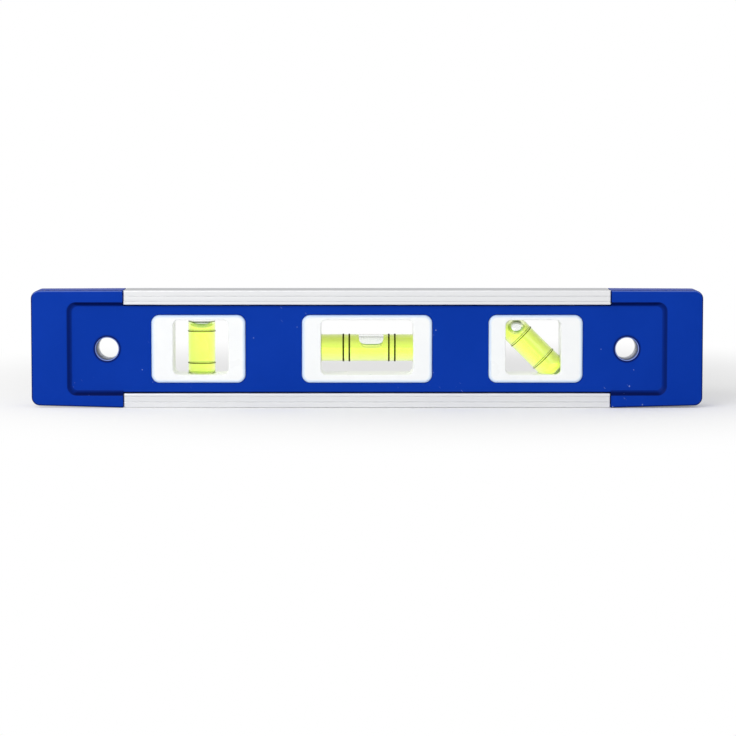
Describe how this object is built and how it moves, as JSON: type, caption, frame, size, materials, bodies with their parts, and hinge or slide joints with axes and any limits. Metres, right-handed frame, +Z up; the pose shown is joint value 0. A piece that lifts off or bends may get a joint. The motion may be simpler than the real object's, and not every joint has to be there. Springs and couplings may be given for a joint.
{
  "type": "spirit level",
  "caption": "Torpedo spirit level: moulded body with aluminium top and base rails, framed level, plumb and 45 degree vials whose bubbles travel, and hang holes near the ends.",
  "frame": {"origin": "centre of the base: midway along the level and midway through its thickness, on the flat of the base rail", "axes": "+X along the level towards the 45 degree vial, +Y from the front face to the rear face, +Z up from the base to the top rail"},
  "size_m": [0.2286, 0.016, 0.04],
  "materials": {
    "blue_plastic": "satin",
    "rail_aluminium": "satin",
    "white_plastic": "satin",
    "clear_acrylic": "gloss",
    "stopper_plastic": "satin",
    "vial_fluid": "gloss",
    "ring_ink": "satin",
    "bubble_air": "gloss"
  },
  "bodies": {
    "stock": {"body": "blue_plastic", "top_rail": "rail_aluminium", "base_rail": "rail_aluminium", "plumb_surround_front": "white_plastic", "plumb_surround_rear": "white_plastic", "plumb_vial_barrel": "clear_acrylic", "plumb_vial_plug": "stopper_plastic", "plumb_ring_1": "ring_ink", "plumb_ring_2": "ring_ink", "plumb_fluid": "vial_fluid", "level_surround_front": "white_plastic", "level_surround_rear": "white_plastic", "level_vial_barrel": "clear_acrylic", "level_vial_plug": "stopper_plastic", "level_ring_1": "ring_ink", "level_ring_2": "ring_ink", "level_ring_3": "ring_ink", "level_ring_4": "ring_ink", "level_fluid": "vial_fluid", "angle_surround_front": "white_plastic", "angle_surround_rear": "white_plastic", "angle_vial_barrel": "clear_acrylic", "angle_vial_plug": "stopper_plastic", "angle_ring_1": "ring_ink", "angle_ring_2": "ring_ink", "angle_fluid": "vial_fluid"},
    "level_air": {"level_bubble": "bubble_air"},
    "plumb_air": {"plumb_bubble": "bubble_air"},
    "angle_air": {"angle_bubble": "bubble_air"}
  },
  "joints": [
    {"name": "level_bubble_travel", "type": "slide", "parent": "stock", "child": "level_air", "axis": [1, 0, 0], "range_m": [-0.0128, 0.011], "stiffness_N_per_m": 0.5, "deforming": ["level_fluid"]},
    {"name": "plumb_bubble_travel", "type": "slide", "parent": "stock", "child": "plumb_air", "axis": [0, 0, 1], "range_m": [-0.0143, 0], "stiffness_N_per_m": 0.5, "springref_m": 0.03, "deforming": ["plumb_fluid"]},
    {"name": "angle_bubble_travel", "type": "slide", "parent": "stock", "child": "angle_air", "axis": [-0.7071, 0, 0.7071], "range_m": [-0.0155, 0], "stiffness_N_per_m": 0.5, "springref_m": 0.03, "deforming": ["angle_fluid"]}
  ]
}
